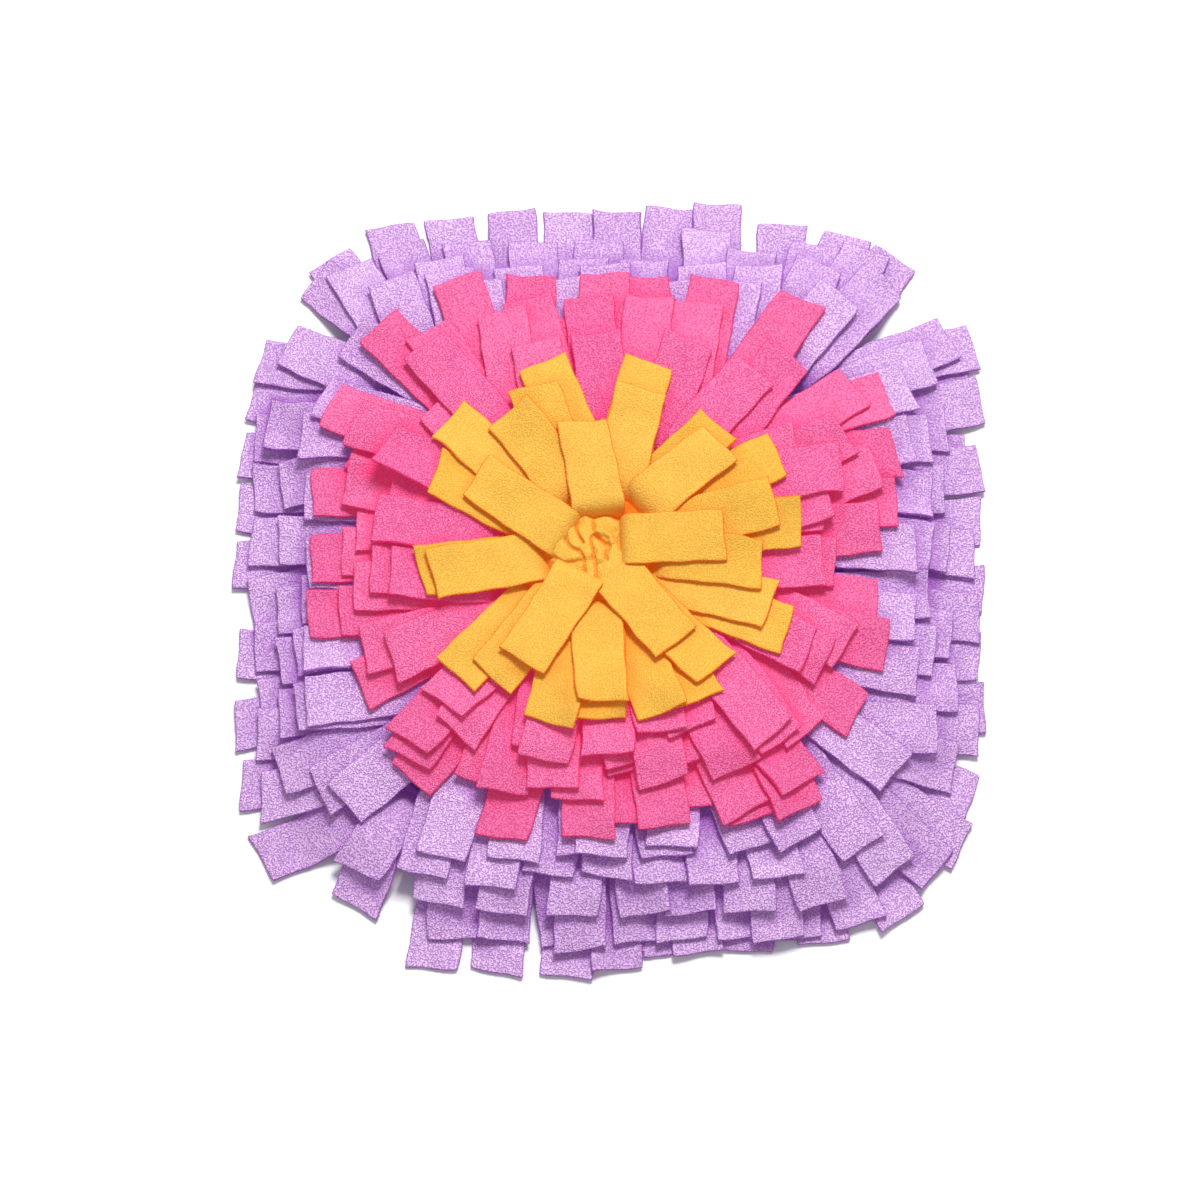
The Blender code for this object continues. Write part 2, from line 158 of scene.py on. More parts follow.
fleeceFinish = {
    "creviceFrom": 0.34,  # how far from a pebble's middle the crevice and its painted shade start, in pebbles
    "creviceTo": 0.86,  # and where it is deepest
    "grain": 0.45,  # mm, single tufts of the nap, drawn coarse enough to show
    "grainShade": 0.9,  # how much the tufts lighten and deepen the colour
    "grainMiddle": -0.4,  # and how that is centred
    "grainRelief": 0.35,  # height of the tufts, as a share of the pebbles'
    "patch": 14.0,  # mm across the soft patches where the nap lies another way
    "patchNoise": (0.3, 0.7),  # the part of the noise that makes these patches
    "patchTones": (0.93, 1.03),  # their least and most lightness
    "waver": 0.45,  # mm that the pebbles' outlines stray
    "waverRun": 1.6,  # pebbles from one turn of their outlines to the next
    "toneSpread": 0.10,  # how far one strip's lightness differs from the next one's
    "cutEdgeShade": 1.0,  # how much of the painted shade the cut edges, and the fleece just inside them, take
}
fleeceShader = {
    "Roughness": 0.95,
    "IOR": 1.5,
    "Specular IOR Level": 0.15,
    "Sheen Weight": 0.35,
    "Sheen Roughness": 0.45,
}


def fleeceMaterial(name):
    look = fleeceLooks[name]
    material, tree, place = newMaterial(look["name"])
    noises = (  # mm across, and layers of detail
        (look["pebble"] * fleeceFinish["waverRun"], 1.0),
        (fleeceFinish["grain"], 2.0),
        (fleeceFinish["patch"], 2.0),
    )
    stray, grain, patches = (
        addNode(
            tree,
            "ShaderNodeTexNoise",
            inputs={"Scale": 1 / (size * mm), "Detail": detail},
            links={"Vector": place},
        )
        for size, detail in noises
    )
    # how deep the fleece lies among the strips, for its painted shade and glow; its cut edges, for their
    # painted shade; and each strip's random tone
    buriedShade, cutEdge, stripTone = (
        addNode(tree, "ShaderNodeAttribute", {"attribute_name": name}).outputs["Fac"]
        for name in ("buriedShade", "cutEdge", "stripTone")
    )
    centred = addNode(
        tree, "ShaderNodeVectorMath", {"operation": "SUBTRACT"}, {1: (0.5, 0.5, 0.5)},
        {0: stray.outputs["Color"]},
    )
    # the centred noise reaches half a unit each way
    shift = addNode(
        tree, "ShaderNodeVectorMath", {"operation": "SCALE"}, {"Scale": fleeceFinish["waver"] * 2 * mm},
        {0: centred},
    )
    strayed = addNode(tree, "ShaderNodeVectorMath", {"operation": "ADD"}, links={0: place, 1: shift})
    pebbles = addNode(
        tree, "ShaderNodeTexVoronoi", {"feature": "F1"}, {"Scale": 1 / (look["pebble"] * mm)},
        {"Vector": strayed},
    )
    # painted shade: the colour deepens towards the crevices between the pebbles, and the tufts add their
    # own random tone
    crevice = addNode(
        tree, "ShaderNodeMapRange", {"interpolation_type": "SMOOTHSTEP"},
        {"From Min": fleeceFinish["creviceFrom"], "From Max": fleeceFinish["creviceTo"]},
        {"Value": pebbles},
    )
    depth = addNode(
        tree, "ShaderNodeMath", {"operation": "MULTIPLY"}, {1: look["crevice"]}, {0: crevice}
    )
    grainShade = addNode(
        tree, "ShaderNodeMath", {"operation": "MULTIPLY_ADD"},
        {1: fleeceFinish["grainShade"], 2: fleeceFinish["grainMiddle"]}, {0: grain},
    )
    deepness = addNode(
        tree, "ShaderNodeMath", {"operation": "ADD", "use_clamp": True},
        links={0: depth, 1: grainShade},
    )
    napColour = addNode(
        tree, "ShaderNodeMix", {"data_type": "RGBA"}, {6: linear(look["top"]), 7: linear(look["creviceShade"])},
        {0: deepness},
    )
    # painted shade along the cut edges and just inside them
    paintedCutShade = addNode(
        tree, "ShaderNodeMath", {"operation": "MULTIPLY"}, {1: fleeceFinish["cutEdgeShade"]}, {0: cutEdge}
    )
    # painted shade under other strips and on the cut edges: the colour turns towards the painted shade
    # colour
    deepest = addNode(
        tree, "ShaderNodeMath", {"operation": "MAXIMUM"}, links={0: buriedShade, 1: paintedCutShade}
    )
    colour = addNode(
        tree, "ShaderNodeMix", {"data_type": "RGBA"}, {7: linear(look["buriedShade"])},
        {0: deepest, 6: napColour.outputs[2]},
    )
    # painted glow in the painted shade colour, on all the fleece and more under other strips, though it is
    # no lamp
    paintedGlow = addNode(
        tree, "ShaderNodeMath", {"operation": "MULTIPLY_ADD"}, {1: look["paintedGlow"], 2: look["paintedGlowBase"]},
        {0: buriedShade},
    )
    tone = addNode(
        tree, "ShaderNodeMapRange", inputs={"To Min": 1 - fleeceFinish["toneSpread"]},
        links={"Value": stripTone},
    )
    noiseLeast, noiseMost = fleeceFinish["patchNoise"]
    toneLeast, toneMost = fleeceFinish["patchTones"]
    patchTone = addNode(
        tree, "ShaderNodeMapRange",
        inputs={"From Min": noiseLeast, "From Max": noiseMost, "To Min": toneLeast, "To Max": toneMost},
        links={"Value": patches},
    )
    lightness = addNode(
        tree, "ShaderNodeMath", {"operation": "MULTIPLY"}, links={0: tone, 1: patchTone}
    )
    richness = addNode(
        tree, "ShaderNodeMapRange",
        inputs={"To Min": 1 + look["richSpread"], "To Max": 1 - look["richSpread"]},
        links={"Value": stripTone},
    )
    toned = addNode(
        tree, "ShaderNodeHueSaturation",
        links={"Color": colour.outputs[2], "Saturation": richness, "Value": lightness},
    )
    relief = addNode(
        tree, "ShaderNodeMath", {"operation": "MULTIPLY_ADD"}, {1: fleeceFinish["grainRelief"]},
        {0: grain, 2: crevice},
    )
    bump = addNode(
        tree, "ShaderNodeBump", {"invert": True}, {"Distance": look["relief"] * mm}, {"Height": relief}
    )
    shader = addNode(
        tree,
        "ShaderNodeBsdfPrincipled",
        inputs={
            **fleeceShader,
            "Sheen Tint": linear(look["top"]),
            "Emission Color": linear(look["buriedShade"]),
        },
        links={"Base Color": toned, "Normal": bump, "Emission Strength": paintedGlow},
    )
    addNode(tree, "ShaderNodeOutputMaterial", links={"Surface": shader})
    return material


# Needle-punched polyester felt: flat and matt, a mat of short crossing fibres with no weave.
feltLook = {
    "colour": "#b892d6",
    "fibre": 0.8,  # mm from one clump of fibres to the next
    "stray": 1.5,  # how far the clumps are pulled out of shape
    "tones": (0.85, 1.1),  # least and most lightness of the fibres
    "relief": 0.15,  # mm
}
feltShader = {"Roughness": 0.95, "Specular IOR Level": 0.2, "Sheen Weight": 0.2}


def feltMaterial(name):
    material, tree, place = newMaterial(name)
    toneLeast, toneMost = feltLook["tones"]
    fibres = addNode(
        tree, "ShaderNodeTexNoise",
        inputs={"Scale": 1 / (feltLook["fibre"] * mm), "Detail": 4.0, "Distortion": feltLook["stray"]},
        links={"Vector": place},
    )
    tone = addNode(
        tree, "ShaderNodeMapRange", inputs={"To Min": toneLeast, "To Max": toneMost},
        links={"Value": fibres},
    )
    toned = addNode(
        tree, "ShaderNodeHueSaturation", inputs={"Color": linear(feltLook["colour"])},
        links={"Value": tone},
    )
    bump = addNode(
        tree, "ShaderNodeBump", inputs={"Distance": feltLook["relief"] * mm}, links={"Height": fibres}
    )
    shader = addNode(
        tree, "ShaderNodeBsdfPrincipled", inputs=feltShader,
        links={"Base Color": toned, "Normal": bump},
    )
    addNode(tree, "ShaderNodeOutputMaterial", links={"Surface": shader})
    return material


fleeces = {name: fleeceMaterial(name) for name in fleeceLooks}
felt = feltMaterial("needlePunchedFelt")
print("materials made")


# Layout of the strips. One entry for each row, outermost first: left, right, far and near are mm from the
# flower's centre to the row's roots and bend is the radius of that path's corners, so that the path is a
# circle where all five are alike. crest is the height of the fold. root, neck and fold are a strip's widths
# at its foot, shoulder and crest, and shoulder is how far from the root the shoulder lies.
Row = namedtuple("Row", "name colour left right far near bend crest root neck fold shoulder")
rows = (
    Row("purple_row_1", "lilac_fleece", 121, 132, 129, 147, 35, 12, 10, 18, 25, 8),
    Row("purple_row_2", "lilac_fleece", 110, 119, 115, 132, 33, 15, 10, 18, 25, 8),
    Row("purple_row_3", "lilac_fleece", 99, 106, 103, 116, 31, 18, 9, 18, 25, 8),
    Row("purple_row_4", "lilac_fleece", 88.5, 95, 91, 101, 29, 22, 8, 18, 25, 8),
    Row("purple_row_5", "lilac_fleece", 78.5, 84, 79.5, 87, 27, 26, 8, 18, 25, 8),
    Row("pink_row_1", "pink_fleece", 69, 74, 70, 74, 40, 28, 8, 18, 25, 8),
    Row("pink_row_2", "pink_fleece", 58, 62, 59, 62, 38, 32, 8, 18, 25, 8),
    Row("pink_row_3", "pink_fleece", 47, 50, 48, 50, 34, 35.5, 8, 18, 25, 8),
    Row("yellow_row_1", "yellow_fleece", 35, 35, 35, 35, 35, 37, 16, 27, 28, 6),
    Row("yellow_row_2", "yellow_fleece", 23.5, 23.5, 23.5, 23.5, 23.5, 39, 15, 27, 28, 6),
    Row("yellow_row_3", "yellow_fleece", 15.5, 9.5, 16, 12.5, 9, 43, 24, 28, 27.5, 2),
)

# Where each strip lies, lowest first: bearing of the tip's middle in degrees, distance to it in mm and
# bearing of the root in degrees, seen from the flower's centre, with 0 to the right and 90 to the far side
places = {
    "purple_row_1": (
        (180, 193, -179), (-156, 208, -147), (-137, 236, -131), (-112, 231, -117), (-94, 219, -96),
        (-81, 210, -80), (-69, 220, -62), (-51, 244, -47), (-33, 230, -38), (-15, 206, -22), (6, 203, 8),
        (17, 203, 24), (25, 217, 35), (47, 236, 43), (62, 217, 54), (80, 205, 76), (95, 200, 97),
        (112, 211, 119), (131, 226, 132), (154, 208, 148), (172, 194, 169), (-165, 196, -157),
        (-148, 219, -137), (-125, 222, -127), (-104, 223, -107), (-87, 215, -89), (-76, 213, -72),
        (-60, 232, -54), (-39, 240, -42), (-22, 216, -32), (-5, 203, -8), (14, 209, 19), (23, 222, 30),
        (31, 235, 39), (54, 229, 48), (72, 214, 65), (87, 199, 86), (104, 206, 108), (121, 223, 127),
        (148, 215, 140), (163, 200, 156),
    ),
    "purple_row_2": (
        (-174, 185, -174), (-157, 192, -148), (-145, 214, -133), (-111, 214, -119), (-95, 202, -101),
        (-85, 202, -83), (-69, 213, -64), (-63, 224, -54), (-44, 239, -44), (-25, 217, -35), (2, 198, 7),
        (33, 225, 38), (57, 213, 48), (90, 181, 90), (111, 193, 119), (134, 222, 132), (160, 196, 151),
        (177, 185, 175), (-165, 187, -159), (-152, 201, -141), (-126, 207, -128), (-103, 206, -109),
        (-92, 206, -95), (-78, 205, -73), (-65, 221, -58), (-56, 233, -49), (-31, 214, -40), (-8, 201, -12),
        (22, 199, 32), (51, 227, 43), (72, 196, 63), (101, 184, 106), (122, 208, 126), (145, 207, 140),
        (168, 188, 162),
    ),
    "purple_row_3": (
        (-171, 171, -168), (-153, 186, -141), (-115, 201, -121), (-94, 190, -93), (-76, 194, -71),
        (-59, 215, -51), (-21, 199, -33), (2, 184, 8), (32, 207, 37), (54, 202, 48), (83, 168, 78),
        (117, 187, 127), (157, 192, 148), (177, 169, 177), (-161, 176, -153), (-145, 201, -135),
        (-104, 194, -109), (-84, 190, -83), (-68, 202, -58), (-47, 224, -44), (-12, 188, -17),
        (13, 187, 20), (45, 221, 43), (65, 192, 54), (94, 167, 96), (129, 213, 137), (167, 173, 155),
    ),
    "purple_row_4": (
        (-172, 157, -168), (-151, 178, -139), (-119, 192, -125), (-99, 172, -95), (-81, 177, -79),
        (-63, 193, -53), (-17, 182, -28), (2, 174, 6), (20, 186, 33), (72, 171, 60), (104, 167, 114),
        (127, 190, 137), (169, 158, 162), (-162, 166, -153), (-139, 191, -132), (-107, 184, -114),
        (-90, 171, -87), (-72, 184, -62), (-28, 197, -47), (-8, 173, -14), (11, 178, 21), (63, 182, 48),
        (88, 161, 87), (116, 176, 128), (157, 171, 144),
    ),
    "purple_row_5": (
        (-177, 153, -174), (-151, 172, -138), (-117, 180, -124), (-92, 160, -95), (-79, 165, -77),
        (-64, 175, -59), (-50, 205, -45), (-21, 176, -31), (1, 165, 5), (30, 188, 39), (64, 167, 53),
        (98, 154, 104), (138, 179, 131), (-162, 161, -149), (-134, 186, -131), (-104, 168, -115),
        (-89, 162, -86), (-76, 162, -66), (-56, 184, -52), (-38, 191, -38), (-12, 167, -22), (20, 175, 31),
        (48, 192, 46), (75, 157, 63), (113, 164, 124), (150, 171, 142),
    ),
    "pink_row_1": (
        (-179, 150, -177), (-150, 143, -147), (-127, 155, -128), (-107, 160, -112), (-87, 146, -85),
        (-72, 144, -66), (-62, 163, -51), (-33, 158, -35), (-10, 146, -17), (20, 165, 32), (53, 175, 47),
        (80, 155, 68), (104, 158, 118), (133, 171, 134), (168, 154, 155), (-167, 155, -155),
        (-130, 148, -138), (-116, 138, -120), (-92, 153, -95), (-77, 151, -74), (-62, 159, -59),
        (-53, 172, -44), (-18, 156, -28), (9, 157, 15), (30, 174, 40), (68, 162, 55), (90, 153, 88),
        (117, 169, 126), (151, 163, 142),
    ),
    "pink_row_2": (
        (-178, 134, -175), (-165, 139, -153), (-132, 142, -136), (-110, 138, -119), (-96, 135, -101),
        (-81, 120, -83), (-68, 124, -65), (-51, 162, -49), (-42, 145, -33), (-22, 137, -17), (17, 151, 12),
        (34, 161, 29), (52, 156, 45), (73, 122, 62), (81, 135, 80), (102, 128, 99), (108, 123, 117),
        (127, 151, 134), (155, 140, 152), (174, 127, 172), (-170, 129, -161), (-156, 133, -144),
        (-128, 124, -128), (-100, 130, -110), (-82, 117, -92), (-74, 130, -74), (-60, 138, -57),
        (-48, 140, -41), (-28, 131, -25), (4, 146, 3), (27, 141, 21), (47, 145, 37), (69, 145, 54),
        (80, 140, 71), (92, 139, 89), (105, 144, 108), (113, 141, 126), (151, 147, 143), (166, 137, 161),
    ),
    "pink_row_3": (
        (-172, 119, -166), (-152, 122, -143), (-107, 112, -117), (-87, 113, -84), (-63, 110, -56),
        (-27, 121, -30), (-3, 122, -6), (11, 117, 18), (26, 115, 41), (66, 120, 63), (108, 115, 115),
        (137, 115, 144), (166, 113, 168), (-171, 109, -155), (-132, 117, -132), (-104, 118, -105),
        (-73, 106, -67), (-49, 135, -45), (-3, 115, -18), (11, 121, 6), (18, 132, 29), (49, 125, 52),
        (90, 115, 84), (130, 144, 132), (154, 124, 156), (172, 117, 180),
    ),
    "yellow_row_1": (
        (76, 101, 75), (4, 104, 8), (-27, 107, -33), (-137, 102, -140), (106, 102, 98), (-61, 99, -55),
        (27, 103, 28), (-72, 98, -73), (-90, 95, -91), (-104, 100, -109), (-168, 94, -170), (158, 93, 158),
        (111, 90, 119), (45, 88, 49),
    ),
    "yellow_row_2": (
        (141, 103, 143), (-22, 94, -36), (75, 85, 74), (10, 92, 15), (-8, 84, -10), (-51, 91, -62),
        (-127, 91, -129), (123, 84, 117), (41, 81, 44), (-91, 87, -95), (-166, 88, -170),
    ),
    "yellow_row_3": (
        (153, 73, 168), (-56, 68, -68), (2, 64, 8), (-120, 76, -124), (96, 65, 92),
    ),
}

strips = {
    "width": 27.0,  # mm
    "thickness": 1.9,
    "shoulderShare": 0.96,  # height of the shoulder, as a share of the crest's
    "crestRun": 20.0,  # mm from the root to the crest
    "fullWidthShare": 0.3,  # where the strip has its full width, as a share of the way from crest to tip
}
mat = {
    "backing": 3.0,  # mm thick
    "backingMargin": 10.0,  # mm from the outermost roots to the backing's edge
    "seatGap": 0.3,  # mm under the bands
    "band": 2.0,  # mm thick
    "bandWidth": 8.0,
    "bandSteps": 6,  # straight edges in each of a band's corners
    "bandTone": 0.5,  # lightness of the bands among the strips', from 0 to 1
    "edgeBevel": 0.6,  # mm, on the backing's edges
    "edgeSegments": 2,
    "cornerSteps": 12,  # straight edges in each of its corners
}
bandFloor = mat["backing"] + mat["seatGap"]
bandMiddle = bandFloor + mat["band"] / 2
bandTop = bandFloor + mat["band"]

Strip = namedtuple("Strip", "rootX rootY angle length crest root neck fold shoulder")


def overPath(row, x, y):
    # mm that places lie beyond the middles of a root path's rounded corners, along x and along y
    overX = np.maximum(np.abs(x) - (np.where(x > 0, row.right, row.left) - row.bend), 0.0)
    overY = np.maximum(np.abs(y) - (np.where(y > 0, row.far, row.near) - row.bend), 0.0)
    return overX, overY


halvings = 20  # steps in which a root's place on its path is found


def rootPoint(row, bearing):
    # where a row's root path lies at a bearing
    towardsX, towardsY = math.cos(math.radians(bearing)), math.sin(math.radians(bearing))
    low, high = 0.0, row.near + row.right
    for _ in range(halvings):
        middle = (low + high) / 2
        if math.hypot(*overPath(row, middle * towardsX, middle * towardsY)) > row.bend:
            high = middle
        else:
            low = middle
    return low * towardsX, low * towardsY


def rowStrips(row):
    laid = []
    for tipBearing, reach, rootBearing in places[row.name]:
        x, y = rootPoint(row, rootBearing)
        runX = reach * math.cos(math.radians(tipBearing)) - x
        runY = reach * math.sin(math.radians(tipBearing)) - y
        root = (flower["x"] + x, flower["y"] + y, math.atan2(runY, runX), math.hypot(runX, runY))
        laid.append(Strip(*root, row.crest, row.root, row.neck, row.fold, row.shoulder))
    return laid


# How a strip lies. The fleece is let fall on the height map of what is already there and then eased by
# smoothing passes, so that it bridges small steps and follows large ones.
drape = {
    "seed": 5,
    "stationGap": 2.5,  # mm between the points along a strip
    "leastStations": 14,  # gaps along even the shortest strip
    "columns": 9,  # points across a strip
    "passes": 30,  # more passes make a stiffer fleece
    "limpPasses": 8,  # of these, the ones that the tips take part in
    "limpFrom": 0.35,  # share of the length from which the fleece hangs limp
    "limpRun": 0.5,  # share of the length over which it turns limp
    "fallRun": 1.1,  # mm along the strip in which a fold comes down, for each mm of its height
    "steepest": 1.0,  # slope up to which a strip's thickness is measured upright
    "air": 0.25,  # mm between a strip and what it lies on
    "bend": 4.0,  # most that a tip strays sideways, mm
    "bendPower": 2,  # the higher the power, the closer to the tip a strip starts to stray
    "skew": 1.6,  # most that a tip's cut is out of square, mm
    "skewPower": 4,
    "freeFrom": 0.3,  # share of the length from which a strip lifts and twists
    "lift": 1.3,  # most that a tip stands off, mm
    "liftPower": 3,  # the higher the power, the fewer tips stand off far
    "twist": 0.7,  # most that one corner of a tip stands above the other, mm
    "cup": 0.8,  # most that a tip's edges stand above its middle, mm
    "wave": 0.7,  # most that a strip waves up and down, mm
    "waveRun": 26.0,  # mm from one wave to the next
    "waveGrowth": 3,  # how quickly the wave sets in, from a third of the length on
    "waver": 0.5,  # most that a cut edge strays, mm
    "waverRun": 3.0,  # mm, how quickly it strays
    "endPower": 6,  # how close to the tip the strip's cut end starts to stray
    "endTurn": 4,  # radians that the cut end's straying turns through from its middle to a corner
}
# Strips that lie unlike the others: their row, their tip's place from the flower's centre in mm, and how
# a strip that curls and waves more than the others, in the darkest and richest of the strips' random tones
curledStrip = {"lift": 3.0, "twist": -2.5, "cup": 4.5, "wave": 3.0, "phase": 1.0, "tone": 0.0}
quirks = (
    ("purple_row_3", -177, 73, curledStrip),
    ("pink_row_3", -112, 53, {"lift": 2.5, "twist": 3.5, "cup": 4.0, "wave": 3.0, "phase": 2.5}),
    ("pink_row_2", -132, 37, {"lift": 2.0, "twist": -2.5, "cup": 2.5}),
    ("purple_row_2", 146, -88, {"lift": 2.0, "twist": 2.5, "cup": 2.5}),
)
quirkReach = 6.0  # mm between the place given and the tip that it means
cell = 1.0  # mm, the height map's cells
halfMap = 240  # cells from the middle to the map's edge

Whim = namedtuple("Whim", "bend skew lift twist cup wave phase tone")


def makeWhim(chance):
    return Whim(
        chance.uniform(-drape["bend"], drape["bend"]),
        chance.uniform(-drape["skew"], drape["skew"]),
        drape["twist"] + chance.random() ** drape["liftPower"] * drape["lift"],
        chance.uniform(-drape["twist"], drape["twist"]),
        chance.uniform(0, drape["cup"]),
        chance.uniform(0, drape["wave"]),
        chance.uniform(0, 2 * math.pi),
        chance.random(),
    )


def quirked(whim, row, strip):
    tipX = strip.rootX + strip.length * math.cos(strip.angle) - flower["x"]
    tipY = strip.rootY + strip.length * math.sin(strip.angle) - flower["y"]
    for rowName, x, y, changes in quirks:
        if rowName == row.name and math.hypot(tipX - x, tipY - y) < quirkReach:
            whim = whim._replace(**changes)
    return whim


def planOfStrip(strip, whim):
    # x and y of the strip's grid, one line of points for each station from root to tip
    stations = max(drape["leastStations"], round(strip.length / drape["stationGap"]))
    run = np.linspace(0.0, strip.length, stations + 1)
    share = run / strip.length
    fullRun = strips["crestRun"] + (strip.length - strips["crestRun"]) * strips["fullWidthShare"]
    half = np.interp(
        run,
        (0.0, strip.shoulder, strips["crestRun"], fullRun),
        np.array((strip.root, strip.neck, strip.fold, strips["width"])) / 2,
    )
    across = np.linspace(-1.0, 1.0, drape["columns"])
    side = half[:, None] * across + whim.bend * share[:, None] ** drape["bendPower"]
    side += drape["waver"] * across * np.sin(run[:, None] / drape["waverRun"] + whim.phase + across)
    endWaver = drape["waver"] * np.sin(drape["endTurn"] * across + whim.phase)
    along = run[:, None] + whim.skew * across * share[:, None] ** drape["skewPower"]
    along += endWaver * share[:, None] ** drape["endPower"]
    x = strip.rootX + along * math.cos(strip.angle) - side * math.sin(strip.angle)
    y = strip.rootY + along * math.sin(strip.angle) + side * math.cos(strip.angle)
    return run, share, across, x, y


def pileUnder(pile, x, y):
    # the highest of the cell at each place and the four beside it
    rowsOfMap = np.rint(x / cell).astype(int) + halfMap
    columnsOfMap = np.rint(y / cell).astype(int) + halfMap
    shifts = ((0, 0), (1, 0), (-1, 0), (0, 1), (0, -1))
    return np.max([pile[rowsOfMap + dx, columnsOfMap + dy] for dx, dy in shifts], axis=0)


def eased(heights):
    # one pass of weights 1, 2, 1 along the strip and then across it, with its root left as it is
    out = heights.copy()
    out[1:-1] = (heights[:-2] + 2 * heights[1:-1] + heights[2:]) / 4
    out[-1] = (heights[-1] + heights[-2]) / 2
    wide = out.copy()
    wide[:, 1:-1] = (out[:, :-2] + 2 * out[:, 1:-1] + out[:, 2:]) / 4
    wide[:, 0] = (out[:, 0] + out[:, 1]) / 2
    wide[:, -1] = (out[:, -1] + out[:, -2]) / 2
    return wide


def layStrip(strip, whim, pile):
    # returns the grid of the strip's underside, in mm, and presses its upper face into the height map
    run, share, across, x, y = planOfStrip(strip, whim)
    below = pileUnder(pile, x, y)
    under = np.where(below > 0, below + drape["air"], 0.0)
    under[run < strip.shoulder] = 0.0
    fall = np.clip((run - strips["crestRun"]) / (drape["fallRun"] * strip.crest), 0.0, 1.0)
    rise = np.interp(
        run,
        (0.0, strip.shoulder, strips["crestRun"]),
        (bandMiddle, strips["shoulderShare"] * strip.crest, strip.crest),
    )
    fold = np.where(run > strips["crestRun"], strip.crest * np.sqrt(1.0 - fall**2), rise)
    least = np.maximum(under, np.where(run > strips["crestRun"], 0.0, rise)[:, None])
    heights = np.maximum(under, fold[:, None])
    for number in range(drape["passes"]):
        heights = np.maximum(eased(heights), least)
        heights[0] = bandMiddle
        if number + 1 == drape["limpPasses"]:
            limp = heights
    limpness = np.clip((share - drape["limpFrom"]) / drape["limpRun"], 0.0, 1.0)[:, None]
    heights = heights * (1 - limpness) + np.minimum(limp, heights) * limpness
    freeEnd = np.clip((share - drape["freeFrom"]) / (1 - drape["freeFrom"]), 0.0, 1.0)[:, None]
    heights = heights + freeEnd * (whim.lift + whim.twist * across + whim.cup * across**2)
    wave = 1 + np.sin(2 * math.pi * run / drape["waveRun"] + whim.phase)
    heights += (whim.wave / 2 * wave * np.clip(share * drape["waveGrowth"] - 1, 0.0, 1.0))[:, None]
    slope = np.clip(np.gradient(heights, run, axis=0), -drape["steepest"], drape["steepest"])
    top = heights + strips["thickness"] * np.sqrt(1.0 + slope**2)
    fineX, fineY, fineTop = (denser(grid) for grid in (x, y, top))
    cells = (np.rint(fineX / cell).astype(int) + halfMap, np.rint(fineY / cell).astype(int) + halfMap)
    np.maximum.at(pile, cells, fineTop)
    return np.stack([x, y, heights], axis=2)


def linesBetween(grid, places):
    # the grid's lines at places counted in lines, in proportion where one lies between two
    low = np.minimum(places.astype(int), len(grid) - 2)
    part = (places - low).reshape(-1, *[1] * (grid.ndim - 1))
    return grid[low] * (1 - part) + grid[low + 1] * part


def denser(grid, times=4):
    # more points, first along the strip and then across it
    for _ in range(2):
        grid = linesBetween(grid, np.linspace(0, len(grid) - 1, (len(grid) - 1) * times + 1)).T
    return grid


def basePile():
    # the bare backing with the bands' tops on it
    places = (np.arange(2 * halfMap) - halfMap) * cell
    x, y = np.meshgrid(places - flower["x"], places - flower["y"], indexing="ij")
    reach = rows[0].bend + mat["backingMargin"] + cell
    return np.where(np.hypot(*overPath(rows[0], x, y)) <= reach, bandTop, 0.0)


# How deep a place lies in the pile, which the fleece shows as painted shade, a deeper colour, and as more
# painted glow
burial = {
    "reach": 6,  # cells over which the pile round a place crowds it
    "loss": 0.25,  # mm that it crowds less from one cell to the next
    "passes": 6,  # more passes make the change more gradual
    "least": 2.5,  # mm below the pile round it, where the painted shade starts
    "most": 15.0,  # mm, where the painted shade is deepest
}


def crowdAround(pile):
    # the pile's height, spread outwards and then eased
    crowd = pile.copy()
    for _ in range(burial["reach"]):
        spread = crowd.copy()
        for axis in (0, 1):
            for shift in (-1, 1):
                spread = np.maximum(spread, np.roll(crowd, shift, axis) - burial["loss"])
        crowd = spread
    for _ in range(burial["passes"]):
        for axis in (0, 1):
            crowd = (np.roll(crowd, 1, axis) + 2 * crowd + np.roll(crowd, -1, axis)) / 4
    return crowd


def buriedShare(points, crowd):
    # points in mm; 0 on top of the pile and 1 deep in it, the share of painted shade and glow
    cells = np.rint(points[:, :2] / cell).astype(int) + halfMap
    depth = crowd[cells[:, 0], cells[:, 1]] - points[:, 2] - strips["thickness"]
    return np.clip((depth - burial["least"]) / (burial["most"] - burial["least"]), 0.0, 1.0)


# Sheets: a strip's modelled grid has fewer points than its drape, with lines close to the cut edges so
# that Subdivision Surface keeps the corners square.
sheetGrid = {
    "runs": (0, 2, 4, 8, 13, 19, 26),  # mm from the root, where the strip turns over
    "runGap": 6.0,  # mm between the lines after that
    "leastGaps": 4,  # gaps between them on even the shortest strip
    "edgeLine": 1.2,  # mm from a cut edge to the line beside it
    "across": (-1.0, -0.91, -0.5, 0.0, 0.5, 0.91, 1.0),
}


def modelledGrid(strip, drapedGrid):
    last = strip.length - sheetGrid["edgeLine"]
    start = sheetGrid["runs"][-1]
    gaps = max(sheetGrid["leastGaps"], round((last - start) / sheetGrid["runGap"]))
    middle = np.linspace(start, last, gaps + 1)
    runs = np.array([*sheetGrid["runs"][:-1], *middle, strip.length])
    stations, columns = drapedGrid.shape[:2]
    lines = linesBetween(drapedGrid, runs / strip.length * (stations - 1))
    columnPlaces = (np.array(sheetGrid["across"]) + 1) / 2 * (columns - 1)
    return linesBetween(lines.swapaxes(0, 1), columnPlaces).swapaxes(0, 1)


def addGrid(points, faces, tones, grid, tone, closed=False):
    # a grid of quads that face upwards; closed joins its last line to its first
    lines, columns = grid.shape[:2]
    first = len(tones)
    points.extend(grid.reshape(-1, 3) * mm)
    tones.extend([tone] * (lines * columns))
    for line in range(lines if closed else lines - 1):
        after = (line + 1) % lines
        for column in range(columns - 1):
            a = first + line * columns + column
            b = first + after * columns + column
            faces.append((a, b, b + 1, a + 1))


